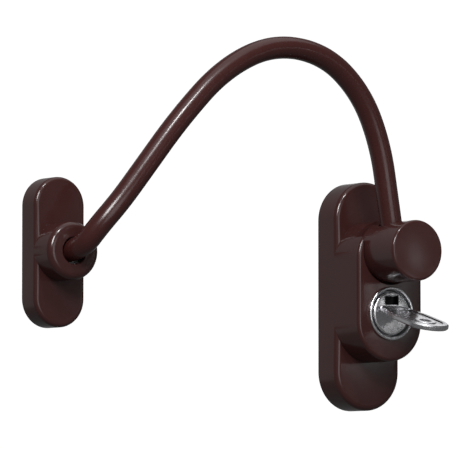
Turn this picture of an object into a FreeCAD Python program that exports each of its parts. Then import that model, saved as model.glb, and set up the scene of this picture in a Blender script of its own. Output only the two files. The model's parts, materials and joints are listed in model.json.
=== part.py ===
# Window restrictor cable: a key lock on the window frame, a sleeved steel cable that turns
# on a plug-in connector, and a small anchor plate for the opening sash.
# Millimetres. +Z is up, the backs of both plates lie on Y = 0 and their fronts face -Y.
# The origin is the centre of the lock's back face.
import FreeCAD, Part
import math
import os

V = FreeCAD.Vector
OUTWARD = V(0, -1, 0)

# ---- lock housing
lock_width = 24.0
lock_height = 71.0
flange_depth = 9.8
flange_round = 1.6
block_height = 43.5
block_bottom_z = -20.6
block_depth = 12.0
block_round = 1.1
shell_wall = 1.8
assembly_gap = 0.1
core_gap = 0.2
side_gap = 0.3
weld = 0.2
base_plate_thick = 1.5
base_hole_spacing = 56.0
base_hole_radius = 2.25
tongue_width = 8.0
tongue_thick = 1.2
tongue_height = 5.5
tongue_inset = 0.35

# ---- knob and plug-in connector
knob_axis_z = 13.0
knob_radius = 9.35
knob_length = 18.8
knob_round = 0.85
knob_chamfer = 0.8
cap_thick = 2.0
pocket_depth = 4.5
pocket_gap = 0.35
pocket_chamfer = 0.35
face_gap = 0.3
knob_rear_wall = 1.5
pin_radius = 3.0
pin_groove_radius = 2.1
pin_tip_y = -1.9
pin_head_radius = 5.0
pin_head_thick = 1.0
pin_chamfer = 0.6
cap_spigot = 1.5
socket_radius = 2.0
socket_depth = 2.2
turn_gap = 0.05
loose_gap = 0.15

# ---- cylinder, plug and cam
cylinder_z = -5.8
barrel_radius = 7.0
barrel_rear_y = -8.2
plug_radius = 5.5
plug_head_radius = 6.65
plug_head_thick = 2.15
plug_head_round = 0.55
plug_proud = 0.8
bezel_radius = 8.25
bezel_bore_radius = 7.35
bezel_spigot = 0.3
bezel_proud = 1.0
bezel_round = 0.42
bezel_seat = 0.4
cam_radius = 6.2
cam_thick = 1.5
cam_pin_radius = 1.2
cam_throw = 2.5
tang_width = 3.0
tang_height = 1.7
keyway_lift = 1.3
shutter_lift = 4.15
shutter_width = 5.2
shutter_height = 3.0
shutter_depth = 1.6
wafer_count = 4
wafer_start = 1.6
wafer_pitch = 2.6
wafer_thick = 0.9
wafer_height = 3.8
wafer_rim = 1.9
wafer_travel = 0.5

# ---- key
blade_thick = 1.7
blade_length = 12.6
blade_tip = 2.3
cut_radius = 0.9
cut_centre = 0.35
crank_lap = 0.25
neck_step = 1.0
bow_width = 13.6
bow_length = 25.4
bow_neck = 1.0
bow_flare = 8.0
bow_drop_deg = 16.0
bow_bevel = 0.4
bow_hole_radius = 1.9
bow_hole_from_end = 7.6

# ---- latch
latch_width = 9.2
latch_thick = 2.0
latch_front_y = -6.2
latch_rim = 1.6
channel_end = 0.6
channel_wall = 2.0
spring_width = 5.2
spring_wire = 0.7
spring_runs = 5
spring_seat_z = -16.9

# ---- cable
cable_radius = 3.4
rope_radius = 2.0
ferrule_wall = 0.5
ferrule_depth = 7.0
ferrule_end = 0.7
ferrule_inset = 0.9
cable_route = [
    V(-0.167, -24.3, 14.0),
    V(-2.5, -24.3, 28.0),
    V(-5.6, -24.6, 45.6),
    V(-13.2, -25.2, 61.4),
    V(-27.2, -25.9, 72.6),
    V(-46.6, -26.4, 74.6),
    V(-65.0, -26.7, 66.0),
    V(-80.8, -26.9, 50.2),
    V(-93.8, -26.9, 34.2),
    V(-101.2, -26.5, 24.9),
    V(-107.1, -24.4, 17.6),
    V(-110.5, -19.2, 10.3),
    V(-110.5, -9.7, 10.3),
]

# ---- anchor
anchor_x = cable_route[-1].x
anchor_z = cable_route[-1].z
anchor_width = 17.4
anchor_height = 45.0
anchor_depth = 7.7
anchor_round = 1.3
anchor_wall = 1.6
boss_radius = 8.7
boss_depth = 8.3
boss_round = 2.0
mouth_gap = 0.6
mouth_round = 0.5
boss_front_wall = 4.2
swivel_radius = 5.5
washer_thick = 0.8
swivel_float = 1.2
anchor_plate_thick = 1.5
anchor_hole_spacing = 31.0
anchor_hole_radius = 2.1
pillar_offset = 10.2
pillar_radius = 2.3

# ---- small screws
screw_radius = 1.25
screw_head_radius = 2.4
screw_length = 6.5
screw_hole_spare = 0.5
screw_socket_ratio = 0.55
anchor_screw_reach = 4.2

# ---- values that follow from the ones above
block_front = flange_depth + block_depth
pocket_floor = block_front - pocket_depth
knob_rear = pocket_floor + face_gap
knob_front = knob_rear + knob_length
cap_rear = knob_front - cap_thick
block_top_z = block_bottom_z + block_height
cavity_width = lock_width - 2 * shell_wall
cover_seat = pocket_floor - shell_wall
core_front = cover_seat - core_gap
low_zone_top = knob_axis_z - knob_radius - pocket_gap - shell_wall
face_back = block_front - shell_wall
face_hole_radius = bezel_bore_radius + bezel_spigot + turn_gap
plug_face = block_front + plug_proud
plug_neck = plug_face - plug_head_thick
latch_back = -latch_front_y - latch_thick
cam_swing = cam_throw * math.sin(math.radians(45))
latch_travel = 2 * cam_swing
blade_width = 2 * (plug_radius - wafer_rim)
pin_slot_front = -latch_front_y + assembly_gap
pin_slot_back = latch_back - assembly_gap
ferrule_radius = cable_radius + ferrule_wall
cable_y = cable_route[0].y
cable_dir = (cable_route[1] - cable_route[0]).normalize()
rope_start = (cable_route[0] - V(0, cable_y, knob_axis_z)).Length
sleeve_end = -cable_route[-1].y
boss_front = anchor_depth + boss_depth
anchor_ferrule_rear = anchor_plate_thick + swivel_float
swivel_front = boss_front - boss_front_wall
mouth_radius = cable_radius + mouth_gap
keyway_z = cylinder_z + keyway_lift


def export(shape, name):
    shape.exportStep("parts/" + name + ".step")
    print(name, "solids", len(shape.Solids), "volume", round(shape.Volume, 1), "valid", shape.isValid())


def rod(radius, near, far, x=0.0, z=0.0):
    """Cylinder along Y between two distances in front of the wall plane."""
    return Part.makeCylinder(radius, far - near, V(x, -near, z), OUTWARD)


def box(width, near, far, low, high, x=0.0):
    return Part.makeBox(width, far - near, high - low, V(x - width / 2, -far, low))


def stadium(width, low, high, near, far, x=0.0):
    """Upright prism with two half-round ends."""
    r = width / 2
    left_low, left_high = V(x - r, -near, low + r), V(x - r, -near, high - r)
    right_low, right_high = V(x + r, -near, low + r), V(x + r, -near, high - r)
    edges = [
        Part.LineSegment(left_low, left_high).toShape(),
        Part.Arc(left_high, V(x, -near, high), right_high).toShape(),
        Part.LineSegment(right_high, right_low).toShape(),
        Part.Arc(right_low, V(x, -near, low), left_low).toShape(),
    ]
    return Part.Face(Part.Wire(edges)).extrude(OUTWARD * (far - near))


def edges_at(shape, distance):
    y = -distance
    return [e for e in shape.Edges if abs(e.BoundBox.YMin - y) < 1e-6 and abs(e.BoundBox.YMax - y) < 1e-6]


def circles_at(shape, distance, radius):
    found = edges_at(shape, distance)
    return [e for e in found if hasattr(e.Curve, "Radius") and abs(e.Curve.Radius - radius) < 1e-4]


def turned(shape, degrees, x, z):
    copy = shape.copy()
    copy.rotate(V(x, 0, z), V(0, 1, 0), degrees)
    return copy


def rounded_path(points, label=""):
    """Straight runs joined by tangent arcs, each as large as its two runs allow."""
    runs = [(b - a).Length for a, b in zip(points, points[1:])]
    edges = []
    here = points[0]
    for i in range(1, len(points) - 1):
        before = (points[i] - points[i - 1]).normalize()
        after = (points[i + 1] - points[i]).normalize()
        turn = before.getAngle(after)
        reach = 0.45 * min(runs[i - 1], runs[i])
        radius = reach / math.tan(turn / 2)
        inward = (after - before).normalize()
        enter = points[i] - before * reach
        leave = points[i] + after * reach
        middle = points[i] + inward * (radius / math.cos(turn / 2) - radius)
        edges.append(Part.LineSegment(here, enter).toShape())
        edges.append(Part.Arc(enter, middle, leave).toShape())
        here = leave
        if label:
            print(label, "bend", i, "turn", round(math.degrees(turn), 1), "radius", round(radius, 1))
    edges.append(Part.LineSegment(here, points[-1]).toShape())
    return Part.Wire(edges)


def pipe(path, radius):
    first = path.Edges[0]
    start = first.valueAt(first.FirstParameter)
    profile = Part.Wire([Part.makeCircle(radius, start, first.tangentAt(first.FirstParameter))])
    tube = path.makePipeShell([profile], True, False)
    return tube.Solids[0] if tube.Solids else Part.Solid(tube)


def countersunk_screw(x, z, plate):
    head = Part.makeCone(screw_head_radius, screw_radius, plate, V(x, 0, z), OUTWARD)
    shank = rod(screw_radius, plate, plate + screw_length, x, z)
    driver = rod(screw_radius * screw_socket_ratio, 0, plate * screw_socket_ratio, x, z)
    return head.fuse(shank).cut(driver).removeSplitter()


def countersink(x, z, plate):
    return Part.makeCone(screw_head_radius, screw_radius, plate, V(x, 0, z), OUTWARD)


core_screw_places = [
    (-7.2, 3.6),
    (7.2, 3.6),
    (-6.3, -14.0),
    (6.3, -14.0),
]


# ---------------------------------------------------------------- lock housing
def lock_cover():
    half = lock_height / 2
    flange = stadium(lock_width, -half, half, 0, flange_depth)
    flange = flange.makeFillet(flange_round, edges_at(flange, flange_depth))
    start = flange_depth - flange_round - weld
    block = stadium(lock_width, block_bottom_z, block_top_z, start, block_front)
    block = block.makeFillet(block_round, edges_at(block, block_front))
    body = flange.fuse(block)

    flange_hollow = flange_depth - shell_wall
    body = body.cut(stadium(cavity_width, -half + shell_wall, half - shell_wall, 0, flange_hollow))
    low, high = block_bottom_z + shell_wall, block_top_z - shell_wall
    body = body.cut(stadium(cavity_width, low, high, 0, cover_seat))
    low_room = stadium(cavity_width, low, high, 0, face_back)
    body = body.cut(low_room.common(box(lock_width, 0, face_back, low, low_zone_top)))

    pocket_radius = knob_radius + pocket_gap
    pocket = rod(pocket_radius, pocket_floor, block_front, 0, knob_axis_z)
    mouth = box(2 * pocket_radius, pocket_floor, block_front, knob_axis_z, block_top_z + 1)
    body = body.cut(pocket.fuse(mouth))
    body = body.cut(rod(pin_radius + loose_gap, 0, block_front, 0, knob_axis_z))
    body = body.cut(rod(face_hole_radius, 0, block_front, 0, cylinder_z))
    body = body.removeSplitter()
    return body.makeChamfer(pocket_chamfer, circles_at(body, block_front, pocket_radius))


def lock_base_plate():
    half = lock_height / 2 - shell_wall - assembly_gap
    width = cavity_width - 2 * assembly_gap
    plate = stadium(width, -half, half, 0, base_plate_thick)
    for side in (-1, 1):
        far = half - tongue_inset
        low, high = sorted((side * far, side * (far - tongue_thick)))
        tongue = box(tongue_width, base_plate_thick - weld, base_plate_thick + tongue_height, low, high)
        inside = stadium(width, -half, half, 0, flange_depth)
        plate = plate.fuse(tongue.common(inside))
        plate = plate.cut(rod(base_hole_radius, 0, base_plate_thick, 0, side * base_hole_spacing / 2))
    for x, z in core_screw_places:
        plate = plate.cut(countersink(x, z, base_plate_thick))
    return plate.removeSplitter()


def latch_channel():
    low = spring_seat_z - channel_end
    high = knob_axis_z + latch_travel + pin_radius + loose_gap + latch_rim + channel_end
    width = latch_width + 2 * side_gap
    return stadium(width, low, high, base_plate_thick, pin_slot_front + assembly_gap), low, high


def lock_core():
    width = cavity_width - 2 * side_gap
    channel, low, high = latch_channel()
    rear_end = flange_depth - shell_wall - core_gap
    core = stadium(width, low - channel_wall, high + channel_wall, base_plate_thick, rear_end)
    inner_low = block_bottom_z + shell_wall + side_gap
    inner_high = block_top_z - shell_wall - side_gap
    core = core.fuse(stadium(width, inner_low, inner_high, base_plate_thick, core_front))
    nose = stadium(width, inner_low, inner_high, base_plate_thick, face_back - core_gap)
    nose_room = box(lock_width, 0, face_back, inner_low, low_zone_top - core_gap)
    core = core.fuse(nose.common(nose_room))
    core = core.cut(channel)
    core = core.cut(rod(cam_radius + core_gap, base_plate_thick, -barrel_rear_y, 0, cylinder_z))
    core = core.cut(rod(barrel_radius, -barrel_rear_y, block_front, 0, cylinder_z))
    core = core.cut(rod(pin_radius + turn_gap, 0, block_front, 0, knob_axis_z))
    for x, z in core_screw_places:
        depth = base_plate_thick + screw_length + screw_hole_spare
        core = core.cut(rod(screw_radius, base_plate_thick, depth, x, z))
    return core.removeSplitter()


def core_screws():
    return Part.Compound([countersunk_screw(x, z, base_plate_thick) for x, z in core_screw_places])


def lock_bezel():
    spigot = rod(bezel_bore_radius + bezel_spigot, face_back + bezel_seat, block_front, 0, cylinder_z)
    ring = rod(bezel_radius, block_front, block_front + bezel_proud, 0, cylinder_z)
    bezel = spigot.fuse(ring)
    bezel = bezel.cut(rod(bezel_bore_radius, face_back, block_front + bezel_proud, 0, cylinder_z))
    bezel = bezel.removeSplitter()
    return bezel.makeFillet(bezel_round, edges_at(bezel, block_front + bezel_proud))


# ---------------------------------------------------------------- cylinder
def wafer_places():
    first = -barrel_rear_y + wafer_start
    return [first + i * wafer_pitch for i in range(wafer_count)]


def lock_barrel():
    front = plug_neck - turn_gap
    barrel = rod(barrel_radius, -barrel_rear_y, front, 0, cylinder_z)
    barrel = barrel.cut(rod(plug_radius + turn_gap, -barrel_rear_y, front, 0, cylinder_z))
    places = wafer_places()
    reach = plug_radius + wafer_travel + side_gap
    low = keyway_z - wafer_height / 2 - loose_gap
    near, far = places[0] - side_gap, places[-1] + wafer_thick + side_gap
    groove = box(2 * reach, near, far, low, low + wafer_height + 2 * loose_gap)
    groove = groove.common(rod(reach, -barrel_rear_y, front, 0, cylinder_z))
    for quarter in (0, -90):
        barrel = barrel.cut(turned(groove, quarter, 0, cylinder_z))
    return barrel.removeSplitter()


def lock_plug():
    body = rod(plug_radius, -barrel_rear_y, plug_neck, 0, cylinder_z)
    head = rod(plug_head_radius, plug_neck, plug_face, 0, cylinder_z)
    head = head.makeFillet(plug_head_round, edges_at(head, plug_face))
    plug = body.fuse(head)
    low = keyway_z - blade_thick / 2 - loose_gap
    high = keyway_z + blade_thick / 2 + loose_gap
    plug = plug.cut(box(blade_width + 2 * loose_gap, -barrel_rear_y, plug_face, low, high))
    shutter_z = cylinder_z + shutter_lift
    low, high = shutter_z - shutter_height / 2, shutter_z + shutter_height / 2
    plug = plug.cut(box(shutter_width, plug_face - shutter_depth, plug_face, low, high))
    low = keyway_z - wafer_height / 2 - turn_gap
    for near in wafer_places():
        far = near + wafer_thick + turn_gap
        plug = plug.cut(box(2 * plug_radius, near - turn_gap, far, low, low + wafer_height + 2 * turn_gap))
    return plug.removeSplitter()


def lock_wafers():
    low = keyway_z - wafer_height / 2
    slot_half = blade_thick / 2 + assembly_gap
    slot_width = blade_width + 2 * (wafer_travel + core_gap)
    window = box(slot_width, 0, block_front, keyway_z - slot_half, keyway_z + slot_half)
    wafers = []
    for near in wafer_places():
        wafer = box(2 * plug_radius, near, near + wafer_thick, low, low + wafer_height)
        wafer = wafer.common(rod(plug_radius - assembly_gap, near, near + wafer_thick, 0, cylinder_z))
        wafers.append(wafer.cut(window))
    return Part.Compound(wafers)


def lock_cam():
    rear = -barrel_rear_y - assembly_gap
    disc = rod(cam_radius, rear - cam_thick, rear, 0, cylinder_z)
    pin = rod(cam_pin_radius, latch_back - side_gap, rear, cam_swing, cylinder_z - cam_swing)
    tang = box(tang_width, rear - weld, -barrel_rear_y, cylinder_z - tang_height, cylinder_z)
    return disc.fuse([pin, tang]).removeSplitter()


# ---------------------------------------------------------------- latch
def lock_latch():
    low = cylinder_z - cam_swing - cam_pin_radius - loose_gap - latch_rim
    high = knob_axis_z + pin_radius + loose_gap + latch_rim
    latch = stadium(latch_width, low, high, latch_back, -latch_front_y)
    near, far = latch_back, -latch_front_y
    latch = latch.cut(rod(pin_radius + loose_gap, near, far, 0, knob_axis_z))
    narrow = pin_groove_radius + loose_gap
    latch = latch.cut(rod(narrow, near, far, 0, knob_axis_z - latch_travel))
    latch = latch.cut(box(2 * narrow, near, far, knob_axis_z - latch_travel, knob_axis_z))
    slot_half = cam_pin_radius + loose_gap
    slot_z = cylinder_z - cam_swing
    slot = box(cam_throw, near, far, slot_z - slot_half, slot_z + slot_half, cam_swing)
    for x in (cam_swing - cam_throw / 2, cam_swing + cam_throw / 2):
        slot = slot.fuse(rod(slot_half, near, far, x, slot_z))
    return latch.cut(slot).removeSplitter()


def latch_bottom_z():
    return cylinder_z - cam_swing - cam_pin_radius - loose_gap - latch_rim


def latch_spring():
    """Flat zigzag of round wire between the end of the channel and the latch."""
    y = -(latch_back + latch_thick / 2)
    low = spring_seat_z + spring_wire / 2
    rise = (latch_bottom_z() - spring_wire / 2 - low) / spring_runs
    points = []
    for i in range(spring_runs + 1):
        side = 1 if i % 2 else -1
        points.append(V(side * spring_width / 2, y, low + i * rise))
    return pipe(rounded_path(points), spring_wire / 2)


# ---------------------------------------------------------------- key
def key():
    shoulder = plug_face + face_gap
    rear = shoulder - face_gap - blade_length
    low, high = keyway_z - blade_thick / 2, keyway_z + blade_thick / 2
    blade = box(blade_width, rear, shoulder + crank_lap, low, high)
    tip = rear + blade_tip
    for side in (-1, 1):
        corner = [V(side * blade_width / 2, -rear, low), V(side * (blade_width / 2 - blade_tip), -rear, low),
                  V(side * blade_width / 2, -tip, low)]
        wedge = Part.Face(Part.makePolygon(corner + corner[:1])).extrude(V(0, 0, blade_thick))
        blade = blade.cut(wedge)
    for i in range(wafer_count):
        y = wafer_places()[i] + wafer_thick / 2
        side = -1 if i % 2 else 1
        notch_x = side * (blade_width / 2 + cut_centre)
        notch = Part.makeCylinder(cut_radius, blade_thick, V(notch_x, -y, low), V(0, 0, 1))
        blade = blade.cut(notch)

    end = shoulder + bow_length
    wide, narrow = bow_width / 2, blade_width / 2 + neck_step
    mid = shoulder + bow_neck
    left = [V(-narrow, -shoulder, low), V(-narrow, -mid, low),
            V(-wide, -(mid + bow_flare), low), V(-wide, -(end - wide), low)]
    right = [V(-p.x, p.y, p.z) for p in reversed(left)]
    sides = [Part.LineSegment(a, b).toShape() for a, b in zip(left, left[1:])]
    sides.append(Part.Arc(left[-1], V(0, -end, low), right[0]).toShape())
    sides += [Part.LineSegment(a, b).toShape() for a, b in zip(right, right[1:])]
    sides.append(Part.LineSegment(right[-1], left[0]).toShape())
    bow = Part.Face(Part.Wire(sides)).extrude(V(0, 0, blade_thick))
    outer = [e for e in bow.Edges if abs(e.BoundBox.ZMax - e.BoundBox.ZMin) < 1e-6]
    outer = [e for e in outer if e.BoundBox.YMin < -shoulder - 0.01]
    bow = bow.makeChamfer(bow_bevel, outer)
    hole_y = -(end - bow_hole_from_end)
    bow = bow.cut(Part.makeCylinder(bow_hole_radius, blade_thick, V(0, hole_y, low), V(0, 0, 1)))
    bow.rotate(V(0, -shoulder, keyway_z), V(1, 0, 0), bow_drop_deg)
    return blade.fuse(bow).removeSplitter()


# ---------------------------------------------------------------- connector and knob
def connector_pin():
    head_rear = knob_rear + knob_rear_wall + turn_gap
    pin = rod(pin_radius, -pin_tip_y, head_rear + weld, 0, knob_axis_z)
    pin = pin.makeChamfer(pin_chamfer, circles_at(pin, -pin_tip_y, pin_radius))
    groove = rod(pin_radius + 1, pin_slot_back, pin_slot_front, 0, knob_axis_z)
    groove = groove.cut(rod(pin_groove_radius, pin_slot_back, pin_slot_front, 0, knob_axis_z))
    head = rod(pin_head_radius, head_rear, head_rear + pin_head_thick, 0, knob_axis_z)
    return pin.cut(groove).fuse(head).removeSplitter()


def along_cable(distance):
    return V(0, cable_y, knob_axis_z) + cable_dir * distance


def cross_rod(radius, start, end):
    return Part.makeCylinder(radius, end - start, along_cable(start), cable_dir)


def swivel_knob():
    knob = rod(knob_radius, knob_rear, cap_rear, 0, knob_axis_z)
    knob = knob.makeChamfer(knob_chamfer, circles_at(knob, knob_rear, knob_radius))
    knob = knob.cut(rod(pin_radius + turn_gap, knob_rear, cap_rear, 0, knob_axis_z))
    room = knob_rear + knob_rear_wall
    knob = knob.cut(rod(pin_head_radius + core_gap, room, cap_rear, 0, knob_axis_z))
    knob = knob.cut(cross_rod(ferrule_radius + turn_gap, -ferrule_depth - turn_gap, knob_radius + 1))
    return knob.removeSplitter()


def knob_cap():
    cap = rod(knob_radius, cap_rear, knob_front, 0, knob_axis_z)
    cap = cap.makeFillet(knob_round, edges_at(cap, knob_front))
    spigot = rod(pin_head_radius + loose_gap, cap_rear - cap_spigot, cap_rear, 0, knob_axis_z)
    return cap.fuse(spigot).removeSplitter()


def clamp_screw():
    near = -cable_y + ferrule_radius + turn_gap
    far = cap_rear - cap_spigot - core_gap
    screw = rod(pin_head_radius + loose_gap, near, far, 0, knob_axis_z)
    corners = []
    for i in range(7):
        angle = math.radians(60 * i)
        corners.append(V(socket_radius * math.cos(angle), -far, knob_axis_z + socket_radius * math.sin(angle)))
    socket = Part.Face(Part.makePolygon(corners)).extrude(V(0, socket_depth, 0))
    return screw.cut(socket).removeSplitter()


def knob_ferrule():
    ferrule = cross_rod(ferrule_radius, -ferrule_depth, knob_radius - ferrule_inset)
    ferrule = ferrule.cut(cross_rod(rope_radius + turn_gap, -ferrule_depth + ferrule_end, rope_start))
    return ferrule.cut(cross_rod(cable_radius + turn_gap, rope_start, knob_radius)).removeSplitter()


# ---------------------------------------------------------------- cable
def cable():
    path = rounded_path(cable_route, "cable")
    tube = pipe(path, cable_radius)
    expected = math.pi * cable_radius ** 2 * path.Length
    print("cable length", round(path.Length, 1), "volume ratio", round(tube.Volume / expected, 4))
    return tube


def rope_end_knob():
    return cross_rod(rope_radius, -ferrule_depth + ferrule_end, rope_start)


def rope_end_anchor():
    return rod(rope_radius, anchor_ferrule_rear + ferrule_end, sleeve_end, anchor_x, anchor_z)


# ---------------------------------------------------------------- anchor
def anchor_cover():
    half = anchor_height / 2
    low, high = anchor_z - half, anchor_z + half
    plate = stadium(anchor_width, low, high, 0, anchor_depth, anchor_x)
    plate = plate.makeFillet(anchor_round, edges_at(plate, anchor_depth))
    width = anchor_width - 2 * anchor_wall
    room = anchor_depth - anchor_wall
    plate = plate.cut(stadium(width, low + anchor_wall, high - anchor_wall, 0, room, anchor_x))
    start = anchor_plate_thick + assembly_gap
    post = rod(swivel_radius + anchor_wall, start, room + weld, anchor_x, anchor_z)
    boss = rod(boss_radius, room - weld, boss_front, anchor_x, anchor_z)
    boss = boss.makeFillet(boss_round, circles_at(boss, boss_front, boss_radius))
    body = plate.fuse([post, boss])
    for side in (-1, 1):
        z = anchor_z + side * pillar_offset
        pillar = rod(pillar_radius, start, room + weld, anchor_x, z)
        body = body.fuse(pillar)
    body = body.cut(rod(swivel_radius + assembly_gap, 0, swivel_front, anchor_x, anchor_z))
    body = body.cut(rod(mouth_radius, 0, boss_front, anchor_x, anchor_z))
    for side in (-1, 1):
        z = anchor_z + side * pillar_offset
        body = body.cut(rod(screw_radius, 0, anchor_plate_thick + anchor_screw_reach + screw_hole_spare, anchor_x, z))
    body = body.removeSplitter()
    return body.makeFillet(mouth_round, circles_at(body, boss_front, mouth_radius))


def anchor_base_plate():
    half = anchor_height / 2 - anchor_wall - assembly_gap
    width = anchor_width - 2 * anchor_wall - 2 * assembly_gap
    plate = stadium(width, anchor_z - half, anchor_z + half, 0, anchor_plate_thick, anchor_x)
    for side in (-1, 1):
        hole_z = anchor_z + side * anchor_hole_spacing / 2
        plate = plate.cut(rod(anchor_hole_radius, 0, anchor_plate_thick, anchor_x, hole_z))
        plate = plate.cut(countersink(anchor_x, anchor_z + side * pillar_offset, anchor_plate_thick))
    return plate


def anchor_screws():
    screws = []
    for side in (-1, 1):
        z = anchor_z + side * pillar_offset
        screw = countersunk_screw(anchor_x, z, anchor_plate_thick)
        screws.append(screw.common(rod(screw_head_radius, 0, anchor_plate_thick + anchor_screw_reach, anchor_x, z)))
    return Part.Compound(screws)


def anchor_ferrule():
    near = anchor_ferrule_rear
    far = swivel_front - washer_thick
    ferrule = rod(swivel_radius, near, far, anchor_x, anchor_z)
    ferrule = ferrule.makeChamfer(pin_chamfer, circles_at(ferrule, near, swivel_radius))
    ferrule = ferrule.cut(rod(rope_radius + turn_gap, near + ferrule_end, far, anchor_x, anchor_z))
    return ferrule.cut(rod(cable_radius + turn_gap, sleeve_end, far, anchor_x, anchor_z)).removeSplitter()


def anchor_washer():
    washer = rod(swivel_radius, swivel_front - washer_thick, swivel_front - turn_gap, anchor_x, anchor_z)
    return washer.cut(rod(cable_radius + turn_gap, 0, swivel_front, anchor_x, anchor_z))


pieces = {
    "lock_cover": lock_cover,
    "lock_base_plate": lock_base_plate,
    "lock_core": lock_core,
    "core_screws": core_screws,
    "lock_bezel": lock_bezel,
    "lock_barrel": lock_barrel,
    "lock_plug": lock_plug,
    "lock_wafers": lock_wafers,
    "lock_cam": lock_cam,
    "lock_latch": lock_latch,
    "latch_spring": latch_spring,
    "key": key,
    "connector_pin": connector_pin,
    "swivel_knob": swivel_knob,
    "knob_cap": knob_cap,
    "clamp_screw": clamp_screw,
    "knob_ferrule": knob_ferrule,
    "cable": cable,
    "rope_end_knob": rope_end_knob,
    "rope_end_anchor": rope_end_anchor,
    "anchor_ferrule": anchor_ferrule,
    "anchor_washer": anchor_washer,
    "anchor_cover": anchor_cover,
    "anchor_base_plate": anchor_base_plate,
    "anchor_screws": anchor_screws,
}

os.makedirs("parts", exist_ok=True)
for name, make in pieces.items():
    export(make(), name)
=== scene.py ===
import json
import math

import bmesh
import bpy
from mathutils import Matrix, Vector


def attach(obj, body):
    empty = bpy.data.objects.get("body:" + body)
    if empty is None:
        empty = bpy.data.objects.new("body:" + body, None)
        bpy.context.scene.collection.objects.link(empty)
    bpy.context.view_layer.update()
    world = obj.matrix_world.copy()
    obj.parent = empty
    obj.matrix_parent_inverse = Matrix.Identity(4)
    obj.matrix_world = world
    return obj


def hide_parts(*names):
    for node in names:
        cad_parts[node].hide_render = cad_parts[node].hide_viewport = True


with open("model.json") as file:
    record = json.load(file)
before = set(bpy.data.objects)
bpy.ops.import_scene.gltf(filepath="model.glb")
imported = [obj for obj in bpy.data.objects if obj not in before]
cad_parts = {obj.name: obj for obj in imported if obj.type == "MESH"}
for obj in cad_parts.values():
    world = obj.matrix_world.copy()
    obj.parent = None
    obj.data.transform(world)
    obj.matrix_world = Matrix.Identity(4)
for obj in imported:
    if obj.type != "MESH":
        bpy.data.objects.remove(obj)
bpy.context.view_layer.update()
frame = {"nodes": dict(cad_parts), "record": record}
mm = 0.001
print("frame loaded", len(frame["nodes"]), "nodes")


# camera to the left of the lock and a little below it
cameraLook = {
    "azimuth": -33.5,
    "elevation": -3.7,
    "distance": 1.5,
    "lens": 366,
    "sensor": 36,
    "aimRight": -0.0354,
    "aimUp": 0.0228,
}


def viewAxes(azimuth, elevation):
    a, e = math.radians(azimuth), math.radians(elevation)
    back = Vector((math.sin(a) * math.cos(e), -math.cos(a) * math.cos(e), math.sin(e)))
    right = Vector((math.cos(a), math.sin(a), 0))
    return right, back.cross(right), back


def makeCamera(look):
    right, up, back = viewAxes(look["azimuth"], look["elevation"])
    data = bpy.data.cameras.new("camera")
    data.lens = look["lens"]
    data.sensor_width = look["sensor"]
    data.clip_start = 0.01
    data.clip_end = 20
    camera = bpy.data.objects.new("camera", data)
    spin = Matrix((right, up, back)).transposed().to_4x4()
    place = right * look["aimRight"] + up * look["aimUp"] + back * look["distance"]
    camera.matrix_world = Matrix.Translation(place) @ spin
    bpy.context.scene.collection.objects.link(camera)
    bpy.context.scene.camera = camera


makeCamera(cameraLook)


# pale floor and curved wall, hidden from reflections
studio = {
    "floorDrop": 0.6,
    "floorRadius": 2.6,
    "sweepRadius": 0.6,
    "wallHeight": 3.2,
    "sweepSteps": 12,
    "spinSteps": 72,
    "colour": (0.9, 0.9, 0.9, 1),
    "glow": 0.95,
    "worldLight": 0.12,
    "aim": (-0.05, 0.0, 0.02),
}

lamps = [
    {"name": "keyLeft", "place": (-0.80, -0.80, 0.62), "size": (0.30, 0.45), "power": 11},
    {"name": "glintTop", "place": (-0.34, -0.67, 0.96), "size": (0.14, 0.14), "power": 4.5},
    {"name": "fillFront", "place": (-0.2, -1.6, 0.1), "size": (0.9, 0.9), "power": 4.2},
    {"name": "topBank", "place": (0.05, -0.15, 0.95), "size": (1.4, 0.9), "power": 3},
    {"name": "backPanel", "place": (-0.05, 0.37, 0.11), "size": (0.8, 0.49), "power": 0.20,
     "aim": (-0.05, 0, 0.11)},
    {"name": "rimRight", "place": (0.36, 0.44, 0.20), "size": (0.16, 0.26), "power": 0.10},
    {"name": "plugCatch", "place": (0.510, -0.760, 0.032), "size": (0.060, 0.065), "power": 0.032},
]


def nodeMaterial(name):
    material = bpy.data.materials.new(name)
    material.use_nodes = True
    tree = material.node_tree
    tree.nodes.clear()
    output = tree.nodes.new("ShaderNodeOutputMaterial")
    shader = tree.nodes.new("ShaderNodeBsdfPrincipled")
    tree.links.new(shader.outputs["BSDF"], output.inputs["Surface"])
    return material, tree, shader


def makeStage(spec):
    floor, flat, sweep = -spec["floorDrop"], spec["floorRadius"], spec["sweepRadius"]
    form = bmesh.new()
    profile = [(0, floor)]
    for i in range(spec["sweepSteps"] + 1):
        angle = math.pi / 2 * i / spec["sweepSteps"]
        profile.append((flat + sweep * math.sin(angle), floor + sweep - sweep * math.cos(angle)))
    profile.append((flat + sweep, floor + spec["wallHeight"]))
    verts = [form.verts.new((x, 0, z)) for x, z in profile]
    edges = [form.edges.new(pair) for pair in zip(verts, verts[1:])]
    bmesh.ops.spin(form, geom=verts + edges, cent=(0, 0, 0), axis=(0, 0, 1), angle=math.tau,
                   steps=spec["spinSteps"], use_merge=True)
    bmesh.ops.remove_doubles(form, verts=form.verts, dist=1e-4)
    bmesh.ops.recalc_face_normals(form, faces=form.faces)
    for face in form.faces:
        face.smooth = True
    mesh = bpy.data.meshes.new("backdrop")
    form.to_mesh(mesh)
    form.free()
    obj = bpy.data.objects.new("backdrop", mesh)
    bpy.context.scene.collection.objects.link(obj)
    material, tree, shader = nodeMaterial("backdropPaper")
    shader.inputs["Base Color"].default_value = spec["colour"]
    shader.inputs["Roughness"].default_value = 0.9
    shader.inputs["Emission Color"].default_value = spec["colour"]
    shader.inputs["Emission Strength"].default_value = spec["glow"]
    mesh.materials.append(material)
    obj.visible_glossy = False
    obj.visible_diffuse = False


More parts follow.
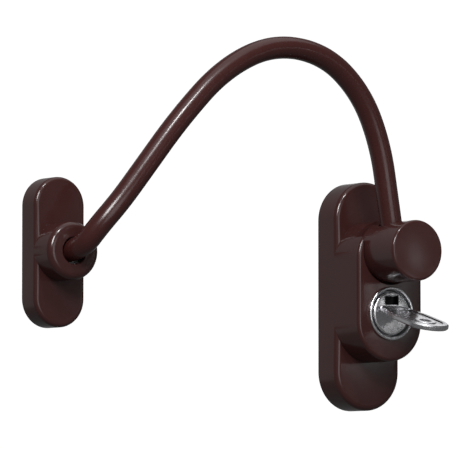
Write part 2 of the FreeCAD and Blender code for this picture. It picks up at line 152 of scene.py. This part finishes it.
def makeLamp(spec):
    data = bpy.data.lights.new(spec["name"], "AREA")
    data.shape = "RECTANGLE"
    data.size, data.size_y = spec["size"]
    data.energy = spec["power"]
    lamp = bpy.data.objects.new(spec["name"], data)
    place = Vector(spec["place"])
    aim = Vector(spec.get("aim", studio["aim"]))
    lamp.rotation_euler = (aim - place).to_track_quat("-Z", "Y").to_euler()
    lamp.location = place
    lamp.visible_camera = False
    bpy.context.scene.collection.objects.link(lamp)


def makeWorld(strength):
    world = bpy.data.worlds.new("studio")
    world.use_nodes = True
    background = world.node_tree.nodes["Background"]
    background.inputs["Color"].default_value = (1, 1, 1, 1)
    background.inputs["Strength"].default_value = strength
    bpy.context.scene.world = world


makeStage(studio)
for lampSpec in lamps:
    makeLamp(lampSpec)
makeWorld(studio["worldLight"])
bpy.context.scene.view_settings.view_transform = "Standard"
print("camera, stage and lamps ready")


def newGroup(name, inputs, outputs):
    group = bpy.data.node_groups.new(name, "ShaderNodeTree")
    for label, kind, value in inputs:
        socket = group.interface.new_socket(label, in_out="INPUT", socket_type=kind)
        socket.default_value = value
    for label, kind in outputs:
        group.interface.new_socket(label, in_out="OUTPUT", socket_type=kind)
    start = group.nodes.new("NodeGroupInput")
    end = group.nodes.new("NodeGroupOutput")
    return group, start, end


def addNoise(group, vector, scale, detail, roughness=0.55):
    noise = group.nodes.new("ShaderNodeTexNoise")
    noise.inputs["Detail"].default_value = detail
    noise.inputs["Roughness"].default_value = roughness
    group.links.new(vector, noise.inputs["Vector"])
    group.links.new(scale, noise.inputs["Scale"])
    return noise.outputs["Fac"]


def addRange(group, value, low, high):
    ramp = group.nodes.new("ShaderNodeMapRange")
    group.links.new(value, ramp.inputs["Value"])
    ramp.inputs["From Min"].default_value = 0.3
    ramp.inputs["From Max"].default_value = 0.7
    group.links.new(low, ramp.inputs["To Min"])
    group.links.new(high, ramp.inputs["To Max"])
    return ramp.outputs["Result"]


def addMath(group, kind, a, b):
    node = group.nodes.new("ShaderNodeMath")
    node.operation = kind
    for socket, value in zip(node.inputs, (a, b)):
        if isinstance(value, (int, float)):
            socket.default_value = value
        else:
            group.links.new(value, socket)
    return node.outputs[0]


def buildMottle():
    group, start, end = newGroup(
        "mottle",
        [
            ("Scale", "NodeSocketFloat", 60.0),
            ("Dark", "NodeSocketColor", (0, 0, 0, 1)),
            ("Light", "NodeSocketColor", (1, 1, 1, 1)),
            ("Gloss Low", "NodeSocketFloat", 0.2),
            ("Gloss High", "NodeSocketFloat", 0.4),
        ],
        [("Color", "NodeSocketColor"), ("Roughness", "NodeSocketFloat")],
    )
    spot = group.nodes.new("ShaderNodeTexCoord").outputs["Object"]
    cloud = addNoise(group, spot, start.outputs["Scale"], 3)
    mix = group.nodes.new("ShaderNodeMix")
    mix.data_type = "RGBA"
    group.links.new(cloud, mix.inputs["Factor"])
    group.links.new(start.outputs["Dark"], mix.inputs["A"])
    group.links.new(start.outputs["Light"], mix.inputs["B"])
    group.links.new(mix.outputs["Result"], end.inputs["Color"])
    fine = addNoise(group, spot, addMath(group, "MULTIPLY", start.outputs["Scale"], 4.3), 5)
    gloss = addRange(group, fine, start.outputs["Gloss Low"], start.outputs["Gloss High"])
    group.links.new(gloss, end.inputs["Roughness"])
    return group


def buildPeel():
    group, start, end = newGroup(
        "peel",
        [("Scale", "NodeSocketFloat", 900.0), ("Speck", "NodeSocketFloat", 0.3)],
        [("Height", "NodeSocketFloat")],
    )
    spot = group.nodes.new("ShaderNodeTexCoord").outputs["Object"]
    waves = addNoise(group, spot, start.outputs["Scale"], 1.5)
    specks = addNoise(group, spot, addMath(group, "MULTIPLY", start.outputs["Scale"], 5), 2)
    specks = addMath(group, "MULTIPLY", specks, start.outputs["Speck"])
    group.links.new(addMath(group, "ADD", waves, specks), end.inputs["Height"])
    return group


def buildGrain():
    group, start, end = newGroup(
        "grain",
        [
            ("Stretch", "NodeSocketVector", (1.0, 40.0, 40.0)),
            ("Scale", "NodeSocketFloat", 60.0),
            ("Dark", "NodeSocketColor", (0.4, 0.4, 0.4, 1)),
            ("Light", "NodeSocketColor", (0.6, 0.6, 0.6, 1)),
            ("Gloss Low", "NodeSocketFloat", 0.2),
            ("Gloss High", "NodeSocketFloat", 0.4),
        ],
        [("Color", "NodeSocketColor"), ("Roughness", "NodeSocketFloat"), ("Height", "NodeSocketFloat")],
    )
    spot = group.nodes.new("ShaderNodeTexCoord").outputs["Object"]
    stretch = group.nodes.new("ShaderNodeVectorMath")
    stretch.operation = "MULTIPLY"
    group.links.new(spot, stretch.inputs[0])
    group.links.new(start.outputs["Stretch"], stretch.inputs[1])
    lines = addNoise(group, stretch.outputs["Vector"], start.outputs["Scale"], 4, 0.6)
    mix = group.nodes.new("ShaderNodeMix")
    mix.data_type = "RGBA"
    group.links.new(lines, mix.inputs["Factor"])
    group.links.new(start.outputs["Dark"], mix.inputs["A"])
    group.links.new(start.outputs["Light"], mix.inputs["B"])
    group.links.new(mix.outputs["Result"], end.inputs["Color"])
    gloss = addRange(group, lines, start.outputs["Gloss Low"], start.outputs["Gloss High"])
    group.links.new(gloss, end.inputs["Roughness"])
    group.links.new(lines, end.inputs["Height"])
    return group


def buildTurning():
    group, start, end = newGroup(
        "turning",
        [("Centre", "NodeSocketVector", (0.0, 0.0, 0.0)), ("Rings", "NodeSocketFloat", 4000.0)],
        [("Height", "NodeSocketFloat")],
    )
    spot = group.nodes.new("ShaderNodeTexCoord").outputs["Object"]
    offset = group.nodes.new("ShaderNodeVectorMath")
    offset.operation = "SUBTRACT"
    group.links.new(spot, offset.inputs[0])
    group.links.new(start.outputs["Centre"], offset.inputs[1])
    flat = group.nodes.new("ShaderNodeVectorMath")
    flat.operation = "MULTIPLY"
    flat.inputs[1].default_value = (1, 0, 1)
    group.links.new(offset.outputs["Vector"], flat.inputs[0])
    reach = group.nodes.new("ShaderNodeVectorMath")
    reach.operation = "LENGTH"
    group.links.new(flat.outputs["Vector"], reach.inputs[0])
    noise = group.nodes.new("ShaderNodeTexNoise")
    noise.noise_dimensions = "1D"
    noise.inputs["Detail"].default_value = 3
    noise.inputs["Scale"].default_value = 1
    rings = addMath(group, "MULTIPLY", reach.outputs["Value"], start.outputs["Rings"])
    group.links.new(rings, noise.inputs["W"])
    group.links.new(noise.outputs["Fac"], end.inputs["Height"])
    return group


def buildRecessShade():
    group, start, end = newGroup(
        "recessShade",
        [
            ("Centre", "NodeSocketVector", (0.0, 0.0, 0.0)),
            ("Half", "NodeSocketVector", (0.001, 0.001, 0.001)),
            ("Fade", "NodeSocketFloat", 0.0004),
            ("Tint", "NodeSocketColor", (0.5, 0.5, 0.5, 1)),
            ("Deep", "NodeSocketColor", (0.01, 0.01, 0.01, 1)),
        ],
        [("Color", "NodeSocketColor")],
    )
    spot = group.nodes.new("ShaderNodeTexCoord").outputs["Object"]
    steps = []
    for kind in ("SUBTRACT", "ABSOLUTE", "SUBTRACT"):
        step = group.nodes.new("ShaderNodeVectorMath")
        step.operation = kind
        steps.append(step)
    group.links.new(spot, steps[0].inputs[0])
    group.links.new(start.outputs["Centre"], steps[0].inputs[1])
    group.links.new(steps[0].outputs["Vector"], steps[1].inputs[0])
    group.links.new(steps[1].outputs["Vector"], steps[2].inputs[0])
    group.links.new(start.outputs["Half"], steps[2].inputs[1])
    split = group.nodes.new("ShaderNodeSeparateXYZ")
    group.links.new(steps[2].outputs["Vector"], split.inputs[0])
    outside = addMath(group, "MAXIMUM", split.outputs["X"], split.outputs["Y"])
    outside = addMath(group, "MAXIMUM", outside, split.outputs["Z"])
    depth = addMath(group, "DIVIDE", addMath(group, "MULTIPLY", outside, -1), start.outputs["Fade"])
    mask = addMath(group, "MAXIMUM", addMath(group, "MINIMUM", depth, 1), 0)
    mix = group.nodes.new("ShaderNodeMix")
    mix.data_type = "RGBA"
    group.links.new(mask, mix.inputs["Factor"])
    group.links.new(start.outputs["Tint"], mix.inputs["A"])
    group.links.new(start.outputs["Deep"], mix.inputs["B"])
    group.links.new(mix.outputs["Result"], end.inputs["Color"])
    return group


groups = {
    "mottle": buildMottle(),
    "peel": buildPeel(),
    "grain": buildGrain(),
    "turning": buildTurning(),
    "recessShade": buildRecessShade(),
}


def useGroup(tree, name, **values):
    node = tree.nodes.new("ShaderNodeGroup")
    node.node_tree = groups[name]
    for label, value in values.items():
        node.inputs[label.replace("_", " ")].default_value = value
    return node


def bumpFrom(tree, shader, height, strength, distance):
    bump = tree.nodes.new("ShaderNodeBump")
    bump.inputs["Strength"].default_value = strength
    bump.inputs["Distance"].default_value = distance
    tree.links.new(height, bump.inputs["Height"])
    tree.links.new(bump.outputs["Normal"], shader.inputs["Normal"])


def setConstants(shader, values):
    for label, value in values.items():
        shader.inputs[label].default_value = value


# paint and sleeve, dark to light mottling with a fine orange peel
paints = {
    "housingPaint": {
        "dark": (0.0350, 0.0110, 0.0100, 1),
        "light": (0.0450, 0.0155, 0.0142, 1),
        "gloss": (0.17, 0.24),
        "mottleScale": 55,
        "peelScale": 520,
        "peelDepth": 0.00003,
        "constants": {"Coat Weight": 0.15, "Coat Roughness": 0.12, "Specular IOR Level": 0.4},
    },
    "knobPaint": {
        "dark": (0.0380, 0.0122, 0.0112, 1),
        "light": (0.0480, 0.0165, 0.0152, 1),
        "gloss": (0.17, 0.24),
        "mottleScale": 70,
        "peelScale": 560,
        "peelDepth": 0.00003,
        "constants": {"Coat Weight": 0.15, "Coat Roughness": 0.12, "Specular IOR Level": 0.4},
    },
    "cableJacket": {
        "dark": (0.0370, 0.0094, 0.0084, 1),
        "light": (0.0490, 0.0132, 0.0118, 1),
        "gloss": (0.22, 0.30),
        "mottleScale": 90,
        "peelScale": 700,
        "peelDepth": 0.000012,
        "constants": {"Coat Weight": 0.10, "Coat Roughness": 0.10, "Specular IOR Level": 0.45},
    },
}

# stretch is the grain's density along x, y and z
metals = {
    "platedSteel": {
        "dark": (0.50, 0.50, 0.47, 1),
        "light": (0.66, 0.66, 0.62, 1),
        "gloss": (0.24, 0.42),
        "stretch": (30, 30, 2),
        "scale": 55,
        "depth": 0.00002,
    },
    "castZinc": {
        "dark": (0.34, 0.34, 0.35, 1),
        "light": (0.46, 0.46, 0.47, 1),
        "gloss": (0.42, 0.6),
        "stretch": (12, 12, 12),
        "scale": 60,
        "depth": 0.00004,
    },
    "lockChrome": {
        "dark": (0.76, 0.76, 0.78, 1),
        "light": (0.88, 0.88, 0.90, 1),
        "gloss": (0.20, 0.30),
        "stretch": (8, 8, 8),
        "scale": 40,
        "depth": 0.00001,
        "turned": (0, 0, -0.0058),  # the cylinder's axis
        "rings": 5200,
        "recess": ((0, -0.0152, -0.00285), (0.0040, 0.0072, 0.00275)),  # middle and half size of the opening
    },
    "keySteel": {
        "dark": (0.66, 0.66, 0.69, 1),
        "light": (0.80, 0.80, 0.83, 1),
        "gloss": (0.20, 0.32),
        "stretch": (40, 2, 10),
        "scale": 50,
        "depth": 0.000006,
    },
    "waferBrass": {
        "dark": (0.52, 0.38, 0.15, 1),
        "light": (0.68, 0.52, 0.24, 1),
        "gloss": (0.25, 0.4),
        "stretch": (4, 40, 40),
        "scale": 50,
        "depth": 0.00002,
    },
    "springSteel": {
        "dark": (0.30, 0.30, 0.32, 1),
        "light": (0.44, 0.44, 0.46, 1),
        "gloss": (0.2, 0.34),
        "stretch": (4, 60, 60),
        "scale": 60,
        "depth": 0.00001,
    },
    "stainless": {
        "dark": (0.42, 0.42, 0.42, 1),
        "light": (0.56, 0.56, 0.56, 1),
        "gloss": (0.2, 0.34),
        "stretch": (3, 60, 3),
        "scale": 60,
        "depth": 0.00002,
    },
    "ropeSteel": {
        "dark": (0.34, 0.34, 0.35, 1),
        "light": (0.52, 0.52, 0.53, 1),
        "gloss": (0.3, 0.45),
        "stretch": (20, 20, 20),
        "scale": 60,
        "depth": 0.00002,
    },
    # the crimps are coloured near black as painted shade, standing in for the shade deep in the bores where
    # they sit
    "crimpPaintedShade": {
        "dark": (0.09, 0.085, 0.085, 1),
        "light": (0.16, 0.155, 0.155, 1),
        "gloss": (0.34, 0.5),
        "stretch": (10, 30, 10),
        "scale": 60,
        "depth": 0.00002,
    },
}


paintBump = 0.35
metalBump = 0.3


def makePaint(name, spec):
    material, tree, shader = nodeMaterial(name)
    low, high = spec["gloss"]
    mottle = useGroup(tree, "mottle", Scale=spec["mottleScale"], Dark=spec["dark"], Light=spec["light"],
                       Gloss_Low=low, Gloss_High=high)
    tree.links.new(mottle.outputs["Color"], shader.inputs["Base Color"])
    tree.links.new(mottle.outputs["Roughness"], shader.inputs["Roughness"])
    peel = useGroup(tree, "peel", Scale=spec["peelScale"])
    bumpFrom(tree, shader, peel.outputs["Height"], paintBump, spec["peelDepth"])
    setConstants(shader, spec["constants"])
    return material


def makeMetal(name, spec):
    material, tree, shader = nodeMaterial(name)
    low, high = spec["gloss"]
    grain = useGroup(tree, "grain", Stretch=spec["stretch"], Scale=spec["scale"], Dark=spec["dark"],
                     Light=spec["light"], Gloss_Low=low, Gloss_High=high)
    colour = grain.outputs["Color"]
    if "recess" in spec:
        centre, half = spec["recess"]
        shade = useGroup(tree, "recessShade", Centre=centre, Half=half)
        tree.links.new(colour, shade.inputs["Tint"])
        colour = shade.outputs["Color"]
    tree.links.new(colour, shader.inputs["Base Color"])
    tree.links.new(grain.outputs["Roughness"], shader.inputs["Roughness"])
    height = grain.outputs["Height"]
    if "turned" in spec:
        height = useGroup(tree, "turning", Centre=spec["turned"], Rings=spec["rings"]).outputs["Height"]
    bumpFrom(tree, shader, height, metalBump, spec["depth"])
    setConstants(shader, {"Metallic": 1.0})
    return material


materials = {name: makePaint(name, spec) for name, spec in paints.items()}
materials.update({name: makeMetal(name, spec) for name, spec in metals.items()})

slotMaterials = {
    "housing_paint": "housingPaint",
    "knob_paint": "knobPaint",
    "cable_jacket": "cableJacket",
    "plated_steel": "platedSteel",
    "die_cast_zinc": "castZinc",
    "lock_chrome": "lockChrome",
    "key_steel": "keySteel",
    "wafer_brass": "waferBrass",
    "spring_steel": "springSteel",
    "stainless": "stainless",
    "rope_steel": "ropeSteel",
    "crimp_metal": "crimpPaintedShade",
}

slotOf = {part["node"]: part["material_slot"] for part in frame["record"]["subparts"]}
for node, obj in frame["nodes"].items():
    for index in range(len(obj.data.materials)):
        obj.data.materials[index] = materials[slotMaterials[slotOf[node]]]
print("materials placed")


# raised rim round the key's bow, mm
keyForm = {
    "rim": 1.3,
    "recess": 0.28,
    "innerFrom": -24.5,
}
bodyOf = {}
for body, members in frame["record"]["behaviour"]["bodies"].items():
    for member in members:
        bodyOf[member] = body

# bevel widths and the seam kept sharp, mm
softEdges = {
    "lock_cover": {"width": 0.30, "steps": 4},
    "anchor_cover": {"width": 0.30, "steps": 4},
    "swivel_knob": {"width": 0.22, "steps": 3, "sharpAt": -34.4},
    "knob_cap": {"width": 0.10, "steps": 2, "sharpAt": -34.4},
    "lock_bezel": {"width": 0.14, "steps": 3},
    "lock_plug": {"width": 0.14, "steps": 3},
    "key": {"width": 0.16, "steps": 3},
    "lock_base_plate": {"width": 0.15, "steps": 2},
    "anchor_base_plate": {"width": 0.15, "steps": 2},
    "lock_core": {"width": 0.15, "steps": 2},
    "lock_barrel": {"width": 0.10, "steps": 2},
    "lock_latch": {"width": 0.12, "steps": 2},
    "lock_cam": {"width": 0.12, "steps": 2},
    "connector_pin": {"width": 0.15, "steps": 2},
    "clamp_screw": {"width": 0.15, "steps": 2},
    "knob_ferrule": {"width": 0.12, "steps": 2},
    "anchor_ferrule": {"width": 0.12, "steps": 2},
    "core_screws": {"width": 0.2, "steps": 2},
    "anchor_screws": {"width": 0.2, "steps": 2},
}
creaseAngle = math.radians(28)
flatAngle = math.radians(0.4)  # merges the facets of a flat face
weldDistance = 2e-7
seamReach = 1e-5


def recessBow(form, spec):
    bow = [face for face in form.faces if face.calc_center_median().y < spec["innerFrom"] * mm]
    up = max(bow, key=lambda face: face.calc_area()).normal.copy()
    for side in (1, -1):
        flats = [face for face in form.faces if face.calc_center_median().y < spec["innerFrom"] * mm]
        flats = [face for face in flats if face.normal.dot(up * side) > 0.999]
        bmesh.ops.inset_region(form, faces=flats, thickness=spec["rim"] * mm, depth=0, use_even_offset=True)
        inner = [face for face in flats if face.is_valid]
        bmesh.ops.inset_region(form, faces=inner, thickness=spec["recess"] * mm, depth=-spec["recess"] * mm,
                               use_even_offset=True)


def softCopy(node, spec):
    source = frame["nodes"][node]
    mesh = source.data.copy()
    form = bmesh.new()
    form.from_mesh(mesh)
    bmesh.ops.remove_doubles(form, verts=form.verts, dist=weldDistance)
    bmesh.ops.dissolve_limit(form, angle_limit=flatAngle, verts=form.verts, edges=form.edges)
    if node == "key":
        recessBow(form, keyForm)
    weight = form.edges.layers.float.new("bevel_weight_edge")
    seam = spec.get("sharpAt")
    for edge in form.edges:
        if len(edge.link_faces) != 2 or edge.calc_face_angle(0) < creaseAngle:
            continue
        onSeam = seam is not None and all(abs(vert.co.y - seam * mm) < seamReach for vert in edge.verts)
        edge[weight] = 0.0 if onSeam else 1.0
    for face in form.faces:
        face.smooth = True
    form.to_mesh(mesh)
    form.free()
    mesh.set_sharp_from_angle(angle=creaseAngle)
    obj = bpy.data.objects.new(node + "Soft", mesh)
    obj.matrix_world = source.matrix_world
    bpy.context.scene.collection.objects.link(obj)
    bevel = obj.modifiers.new("softEdges", "BEVEL")
    bevel.width = spec["width"] * mm
    bevel.segments = spec["steps"]
    bevel.limit_method = "WEIGHT"
    bevel.use_clamp_overlap = True
    bevel.harden_normals = True
    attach(obj, bodyOf[node])
    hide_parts(node)


for node, spec in softEdges.items():
    softCopy(node, spec)
print("edges softened on", len(softEdges), "pieces")


# route in mm, sizes in metres
cableSpec = {
    "diameter": 0.0068,
    "length": 0.1886,
    "curveSteps": 24,
    "roundSteps": 10,
    "route": [
        (-0.167, -24.3, 14.0),
        (-2.5, -24.3, 28.0),
        (-5.6, -24.6, 45.6),
        (-13.2, -25.2, 61.4),
        (-27.2, -25.9, 72.6),
        (-46.6, -26.4, 74.6),
        (-65.0, -26.7, 66.0),
        (-80.8, -26.9, 50.2),
        (-93.8, -26.9, 34.2),
        (-101.2, -26.5, 24.9),
        (-107.1, -24.4, 17.6),
        (-110.5, -19.2, 10.3),
        (-110.5, -9.7, 10.3),
    ],
}


def routeCurve(name, spec):
    data = bpy.data.curves.new(name, "CURVE")
    data.dimensions = "3D"
    spline = data.splines.new("NURBS")
    spline.points.add(len(spec["route"]) - 1)
    for point, (x, y, z) in zip(spline.points, spec["route"]):
        point.co = (x * mm, y * mm, z * mm, 1)
    spline.order_u = 3
    spline.use_endpoint_u = True
    spline.resolution_u = spec["curveSteps"]
    data.bevel_depth = spec["diameter"] / 2
    data.bevel_resolution = spec["roundSteps"]
    data.use_fill_caps = True
    return bpy.data.objects.new(name, data)


def makeCable(spec):
    cable = routeCurve("sleevedCable", spec)
    bpy.context.scene.collection.objects.link(cable)
    cable.data.materials.append(materials["cableJacket"])
    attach(cable, "cable_run")
    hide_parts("cable")


makeCable(cableSpec)
print("cable made")
